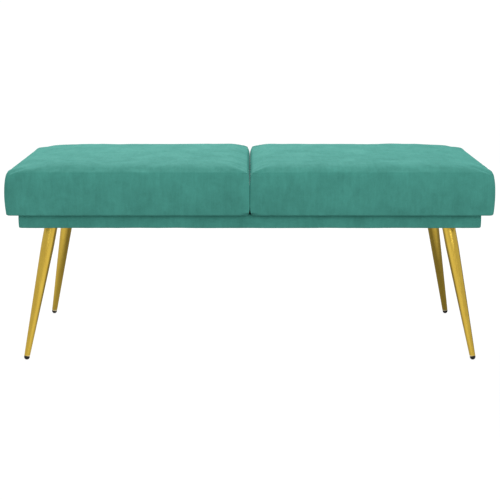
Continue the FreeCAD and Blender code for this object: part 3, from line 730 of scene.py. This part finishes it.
def make_band():
    pts, nrm = round_loop(BAND_X, BAND_Y, BAND_R, 4.0)
    h = BAND_Z1 - BAND_Z0
    prof = []                                   # (outward offset, z), from under the pads round to under the rails
    for d in (-22.0, -16.0, -10.0, -6.0):
        prof.append((d, BAND_Z1 - 0.05))
    for i in range(7):
        a = math.radians(90 - 15 * i)
        prof.append((-2.6 + 2.6 * math.cos(a), BAND_Z1 - 2.6 + 2.6 * math.sin(a)))
    for i in range(1, 8):
        u = i / 8
        prof.append((0.4 * 4 * u * (1 - u), BAND_Z1 - 2.6 - (h - 5.2) * u))
    for i in range(7):
        a = math.radians(-15 * i)
        prof.append((-2.6 + 2.6 * math.cos(a), BAND_Z0 + 2.6 + 2.6 * math.sin(a)))
    for d in (-4.5, -7.0, -10.0, -14.0, -22.0, -32.0, -44.0, -59.0):
        prof.append((d, BAND_Z0))
    prof = np.array(prof)
    m, k = len(pts), len(prof)
    off = np.minimum(prof[:, 0], 0.0)
    P = np.zeros((m, k, 3))
    for j in range(k):
        d = prof[j, 0]
        # inside the corner radius the cloth gathers, so the ring is kept a rounded rectangle
        if -d < BAND_R - 1:
            P[:, j, :2] = pts + nrm * d
        else:
            inner, _ = round_loop(BAND_X + d, BAND_Y + d, 1.0, 4.0)
            a = np.linspace(0, 1, len(inner), endpoint=False)
            P[:, j, :2] = pts + nrm * -(BAND_R - 1)
            q = P[:, j, :2]
            lim = np.array([BAND_X + d, BAND_Y + d])
            P[:, j, :2] = np.clip(q, -lim, lim)
        P[:, j, 2] = prof[j, 1]
    flat = P.reshape(-1, 3)
    idx = np.arange(m * k).reshape(m, k)
    u, v = idx, np.roll(idx, -1, axis=0)
    quads = np.stack([u[:, :-1], u[:, 1:], v[:, 1:], v[:, :-1]], -1).reshape(-1, 4)
    N = vertex_normals(flat, quads)
    side = np.zeros((m, k)); side[:, 8:25] = 1.0
    side = side.ravel()
    # pulled a little unevenly over the rails, with faint drag lines upwards
    slack = waves(210, 26, 160.0, 45.0, (1, 1, 0.4))(flat)
    drag = waves(211, 30, 26.0, 11.0, (1, 1, 0.12))(flat)
    flat = flat + N * (side * (0.22 * slack + 0.07 * drag))[:, None]
    # the lower edge waves very slightly, and three folds gather the cloth under each corner
    under = np.zeros((m, k)); under[:, 25:] = 1.0
    under = under.ravel()
    for sx in (-1, 1):
        for sy in (-1, 1):
            cx, cy = sx * (BAND_X - BAND_R), sy * (BAND_Y - BAND_R)
            dx, dy = (flat[:, 0] - cx) * sx, (flat[:, 1] - cy) * sy
            ang = np.arctan2(dy, dx)
            near = under * ((dx > -34) & (dy > -34))
            rad = np.hypot(dx, dy)
            fold = np.zeros(len(flat))
            for c in (0.30, 0.78, 1.27):
                fold += np.exp(-((ang - c) / 0.11) ** 2)
            flat[:, 2] -= near * 0.55 * fold * smooth(rad / 6.0) * (dx > -2) * (dy > -2)
    # joined at the back in one upright seam
    joint = (flat[:, 1] > BAND_Y - 2.5) * side
    dx = flat[:, 0] - 214.0
    flat = flat + N * (joint * (-0.6 * np.exp(-(dx / 2.4) ** 2)))[:, None]
    inner = flat - N * 1.3
    inner[:, 2] = np.where(flat[:, 2] > BAND_Z1 - 1.0, np.minimum(inner[:, 2], BAND_Z1 - 1.35), inner[:, 2])
    V = np.concatenate([flat, inner])
    nq = quads[:, ::-1] + m * k
    rim1 = np.stack([idx[:, 0], np.roll(idx[:, 0], -1), np.roll(idx[:, 0], -1) + m * k, idx[:, 0] + m * k], -1)
    rim2 = np.stack([idx[:, -1], idx[:, -1] + m * k, np.roll(idx[:, -1], -1) + m * k, np.roll(idx[:, -1], -1)], -1)
    ob = new_mesh("base_velvet", V, np.concatenate([quads, nq, rim1, rim2]), M["velvet_band"])
    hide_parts("base_velvet_band")
    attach(ob, "root")
    return ob


make_band()


# ------------------------------------------------------------------ black cloth under the base
def make_dust():
    hx, hy = BAND_X - 9.0, BAND_Y - 9.0
    nx, ny = 220, 88
    xs, ys = np.linspace(-hx, hx, nx), np.linspace(-hy, hy, ny)
    # extra rows for the folded hem
    xs = np.array(sorted(set(np.round(np.concatenate([xs, [-hx + 0.8, hx - 0.8, -hx + 11.0, hx - 11.0, -hx + 12.2, hx - 12.2]]), 3))))
    ys = np.array(sorted(set(np.round(np.concatenate([ys, [-hy + 0.8, hy - 0.8, -hy + 11.0, hy - 11.0, -hy + 12.2, hy - 12.2]]), 3))))
    nx, ny = len(xs), len(ys)
    X, Y = np.meshgrid(xs, ys, indexing="ij")
    p = np.stack([X.ravel(), Y.ravel(), np.zeros(X.size)], -1)
    x, y = p[:, 0], p[:, 1]
    sag = np.zeros(len(p))
    for x0, x1 in ((-464, -284), (-216, -34), (34, 216), (284, 464)):
        u = np.clip((x - x0) / (x1 - x0), 0, 1)
        v = np.clip((y + 148) / 296, 0, 1)
        bay = (np.sin(math.pi * u) * np.sin(math.pi * v)) ** 0.8
        sag += 1.5 * bay
    # lies flat over the corner blocks and under the leg plates
    flat_at = np.zeros(len(p))
    for sx in (-1, 1):
        for sy in (-1, 1):
            d = np.maximum(np.abs(x - sx * 464.6) - 41, np.abs(y - sy * 153.2) - 41)
            flat_at = np.maximum(flat_at, 1 - smooth(d / 14.0))
            d = np.maximum(np.abs(x - sx * 423) - 45, np.abs(y - sy * 106) - 45)
            flat_at = np.maximum(flat_at, 1 - smooth(d / 25.0))
    crease = waves(310, 30, 130.0, 26.0, (1, 1, 0))(p)
    drag = np.zeros(len(p))
    # small puckers that run in from each staple
    sx_, sy_ = BAND_X - 24, BAND_Y - 24
    st = []
    n1, n2 = int(round(2 * sx_ / 52)), int(round(2 * sy_ / 52))
    for i in range(n1):
        q = -sx_ + 2 * sx_ * (i + 0.5) / n1
        for yy in (-sy_, sy_):
            if not (abs(q) > 414 and abs(yy) > 105):
                st.append((q, yy, 0, -math.copysign(1, yy)))
    for i in range(n2):
        q = -sy_ + 2 * sy_ * (i + 0.5) / n2
        for xx in (-sx_, sx_):
            if not (abs(xx) > 414 and abs(q) > 105):
                st.append((xx, q, -math.copysign(1, xx), 0))
    for px, py, ux, uy in st:
        dx, dy = x - px, y - py
        along = dx * ux + dy * uy
        across = -dx * uy + dy * ux
        drag += 0.45 * np.exp(-((np.abs(across) - 5.0 - 0.10 * along) / 3.2) ** 2) * np.exp(-(np.maximum(along, 0) / 22.0)) * (along > -6)
    low = (1 - flat_at) * (sag + 0.28 * np.maximum(crease + 0.6, 0) + drag)
    edge = np.minimum(hx - np.abs(x), hy - np.abs(y))
    hem = 0.28 * (edge < 11.5) * (1 - flat_at)
    low_face = DUST_Z0 - 0.02 + 0.04 - low - hem
    high_face = np.minimum(low_face + 0.42, BAND_Z0 - 0.02)
    V = np.concatenate([np.stack([x, y, low_face], -1), np.stack([x, y, np.maximum(high_face, low_face + 0.3)], -1)])
    idx = np.arange(nx * ny).reshape(nx, ny)
    lo = np.stack([idx[:-1, :-1], idx[:-1, 1:], idx[1:, 1:], idx[1:, :-1]], -1).reshape(-1, 4)
    hi = lo[:, ::-1] + nx * ny
    ring = np.concatenate([idx[:, 0], idx[-1, 1:], idx[-2::-1, -1], idx[0, -2:0:-1]])
    nxt = np.roll(ring, -1)
    rim = np.stack([ring, nxt, nxt + nx * ny, ring + nx * ny], -1)
    ob = new_mesh("dust_cloth", V, np.concatenate([lo, hi, rim]), M["lining_cloth"])
    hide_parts("dust_cover")
    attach(ob, "root")
    return ob


make_dust()


# ------------------------------------------------------------------ legs and glides
TILT = math.sqrt(1 + 2 * SPLAY * SPLAY)


def make_leg(tag, sx, sy):
    up = np.array([-sx * SPLAY, -sy * SPLAY, 1.0]) / TILT
    e1 = np.cross(up, [0, 1, 0.0]); e1 /= np.linalg.norm(e1)
    e2 = np.cross(up, e1)
    if np.dot(np.cross(e1, e2), up) < 0:
        e2 = -e2
    centre = np.array([sx * FOOT_X, sy * FOOT_Y, GLIDE_Z])
    low = centre + up * GLIDE_LIP
    length = (PLATE_Z0 - low[2]) * TILT
    taper = (TAPER_Z - low[2]) * TILT
    grow = (LEG_R_TOP - LEG_R_LOW) / taper
    n = 96
    ang = np.linspace(0, 2 * math.pi, n, endpoint=False)
    ray = np.cos(ang)[:, None] * e1 + np.sin(ang)[:, None] * e2

    def ring(h, r):
        return low + up * h + ray * r

    rings = [ring(0.9, LEG_R_LOW - 1.5), ring(0.15, LEG_R_LOW - 1.35), ring(0.0, LEG_R_LOW - 1.0)]
    for i in range(5):                                     # the rolled lower rim
        a = math.radians(-90 + 22.5 * i)
        rings.append(ring(0.75 + 0.75 * math.sin(a), LEG_R_LOW - 0.72 + 0.75 * math.cos(a)))
    rings.append(ring(1.25, LEG_R_LOW + 0.01 + grow * 1.25))
    rings.append(ring(1.6, LEG_R_LOW - 0.10 + grow * 1.6))   # a hairline below the plating's edge
    rings.append(ring(1.95, LEG_R_LOW + grow * 1.95))
    # a straight taper that runs softly into a straight upper end
    steps = [3, 6, 12, 24] + list(np.linspace(40, taper - 12, 12)) + [taper - 8, taper - 4, taper, taper + 4, taper + 8, taper + 14]
    for h in steps:
        t = (h - taper) / 9.0
        soft = 9.0 * 0.25 * max(0.0, 1 - abs(t)) ** 2
        rings.append(ring(h, LEG_R_LOW + grow * (min(h, taper) - soft)))
    # where the tube meets the plate, cut level
    start = ring(steps[-1], LEG_R_TOP)
    t = (PLATE_Z0 - start[:, 2]) / up[2]
    for frac in (0.3, 0.65, 0.9, 1.0):
        rings.append(start + up * (t * frac)[:, None])
    P = np.concatenate(rings)
    k = len(rings)
    idx = np.arange(k * n).reshape(k, n)
    a, b = idx[:-1], idx[1:]
    quads = np.stack([a, np.roll(a, -1, 1), np.roll(b, -1, 1), b], -1).reshape(-1, 4)
    # inside of the tube, seen only from above through the plate's side
    ob = new_mesh("leg_tube_%s" % tag, P, quads, M["gold_metal"])
    sol = ob.modifiers.new("wall", "SOLIDIFY")
    sol.thickness = 0.0012
    sol.offset = -1.0
    sol.use_rim = True
    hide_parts("leg_%s" % tag)
    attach(ob, "root")

    # glide: lip, short collar and dome, flat where it stands
    prof = [(0.0, 2.0), (GLIDE_R - 1.9, 2.0), (GLIDE_R - 1.7, 2.18), (GLIDE_R - 0.45, 2.18), (GLIDE_R - 0.15, 2.05), (GLIDE_R, 1.75), (GLIDE_R, 1.1), (GLIDE_R + 0.03, 0.55), (GLIDE_R + 0.03, 0.35), (GLIDE_R, 0.0)]
    for i in range(1, 19):
        a = math.radians(90 * i / 18)
        prof.append((GLIDE_R * math.cos(a), -GLIDE_R * math.sin(a)))
    rr = []
    for r, h in prof[1:-1]:
        rr.append(centre + up * h + ray * r)
    P = np.concatenate([(centre + up * prof[0][1])[None, :]] + rr + [(centre + up * prof[-1][1])[None, :]])
    P[:, 2] = np.maximum(P[:, 2], 0.0)
    k = len(rr)
    idx = 1 + np.arange(k * n).reshape(k, n)
    a, b = idx[:-1], idx[1:]
    faces = [tuple(q) for q in np.stack([a, b, np.roll(b, -1, 1), np.roll(a, -1, 1)], -1).reshape(-1, 4)]
    faces += [(0, int(idx[0, i]), int(idx[0, (i + 1) % n])) for i in range(n)]
    last = len(P) - 1
    faces += [(last, int(idx[-1, (i + 1) % n]), int(idx[-1, i])) for i in range(n)]
    gl = new_mesh("glide_%s" % tag, P, faces, M["black_plastic"])
    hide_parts("leg_glide_%s" % tag)
    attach(gl, "root")


for tag, sx, sy in (("front_left", -1, -1), ("front_right", 1, -1), ("rear_left", -1, 1), ("rear_right", 1, 1)):
    make_leg(tag, sx, sy)


# ------------------------------------------------------------------ floor, light
def make_floor():
    m, t, sh = material("floor")
    n = Net(t)
    speck = n.noise(n.co, 3.0, 3.0, 0.5)
    path = t.nodes.new("ShaderNodeLightPath")
    # what is seen is nearly white paper; what lights the bench from below is a duller floor; what the metal reflects is
    # darker still, a painted reflection
    n.link(n.mix(path.outputs["Is Camera Ray"], n.mix(path.outputs["Is Glossy Ray"], n.ramp(speck, [(0.3, (0.48, 0.48, 0.48)), (0.7, (0.51, 0.51, 0.51))]), (0.15, 0.15, 0.15)), n.ramp(speck, [(0.3, (0.10, 0.10, 0.10)), (0.7, (0.11, 0.11, 0.11))])), sh.inputs["Base Color"])
    sh.inputs["Roughness"].default_value = 0.9
    sh.inputs["Specular IOR Level"].default_value = 0.1
    sh.inputs["Emission Color"].default_value = (1, 1, 1, 1)
    # painted reflection: the floor glows only for rays reflected off the metal, bright in front and dull behind and to
    # the right, painting the floor's shade under and behind the bench into the legs
    sep = t.nodes.new("ShaderNodeSeparateXYZ")
    n.link(n.co, sep.inputs[0])
    back = n.remap(sep.outputs[1], -0.36, 0.0, 0.0, 1.0)
    right = n.remap(sep.outputs[0], -0.80, -0.25, 0.60, 0.14)
    painted_reflection_pattern = n.math("ADD", n.math("MULTIPLY", n.math("SUBTRACT", 1.0, back), 0.94), n.math("MULTIPLY", back, right))
    painted_reflection_glow = n.math("MAXIMUM", n.math("MULTIPLY", path.outputs["Is Glossy Ray"], painted_reflection_pattern), 0.0)
    n.link(n.math("ADD", painted_reflection_glow, n.math("MULTIPLY", path.outputs["Is Camera Ray"], 0.93)), sh.inputs["Emission Strength"])
    rings = [0.0, 1.0, 2.0, 4.0, 8.0, 20.0, 60.0, 160.0]
    verts, faces = [(0, 0, 0)], []
    k = 48
    for r in rings[1:]:
        verts += [(r * 1000 * math.cos(2 * math.pi * i / k), r * 1000 * math.sin(2 * math.pi * i / k), 0.0) for i in range(k)]
    faces += [(0, 1 + i, 1 + (i + 1) % k) for i in range(k)]
    for j in range(len(rings) - 2):
        a, b = 1 + j * k, 1 + (j + 1) * k
        faces += [(a + i, b + i, b + (i + 1) % k, a + (i + 1) % k) for i in range(k)]
    ob = new_mesh("floor", verts, faces, m)
    # seen from below the floor is clear, so that the underside can be looked at
    g = t.nodes.new("ShaderNodeNewGeometry")
    tr = t.nodes.new("ShaderNodeBsdfTransparent")
    mx = t.nodes.new("ShaderNodeMixShader")
    n.link(g.outputs["Backfacing"], mx.inputs[0])
    n.link(sh.outputs[0], mx.inputs[1])
    n.link(tr.outputs[0], mx.inputs[2])
    out = [x for x in t.nodes if x.type == "OUTPUT_MATERIAL"][0]
    n.link(mx.outputs[0], out.inputs[0])
    return ob


make_floor()


def area_light(name, place, aim, size, power, colour=(1, 1, 1)):
    l = bpy.data.lights.new(name, "AREA")
    l.shape = "RECTANGLE"
    l.size, l.size_y = size
    l.energy = power
    l.color = colour
    ob = bpy.data.objects.new(name, l)
    bpy.context.collection.objects.link(ob)
    from mathutils import Vector
    d = Vector(aim) - Vector(place)
    ob.location = place
    ob.rotation_euler = d.to_track_quat("-Z", "Y").to_euler()
    ob.visible_camera = False
    return ob


area_light("key", (-0.35, 1.8, 1.6), (0, 0.1, 0.42), (2.0, 1.0), 32.0)
area_light("front_fill", (0.5, -3.2, 1.6), (0, 0, 0.35), (2.0, 1.2), 27.0)

world = bpy.data.worlds.new("studio")
bpy.context.scene.world = world
world.use_nodes = True
wt = world.node_tree
wt.nodes.clear()
wo = wt.nodes.new("ShaderNodeOutputWorld")
bg = wt.nodes.new("ShaderNodeBackground")
wt.links.new(bg.outputs[0], wo.inputs[0])
bg.inputs[0].default_value = (1, 1, 1, 1)
lp = wt.nodes.new("ShaderNodeLightPath")
mr = wt.nodes.new("ShaderNodeMapRange")
wt.links.new(lp.outputs["Is Camera Ray"], mr.inputs[0])
mr.inputs[3].default_value, mr.inputs[4].default_value = 0.76, 1.0
wt.links.new(mr.outputs[0], bg.inputs[1])
scene = bpy.context.scene
scene.view_settings.view_transform = "Standard"
scene.view_settings.look = "None"
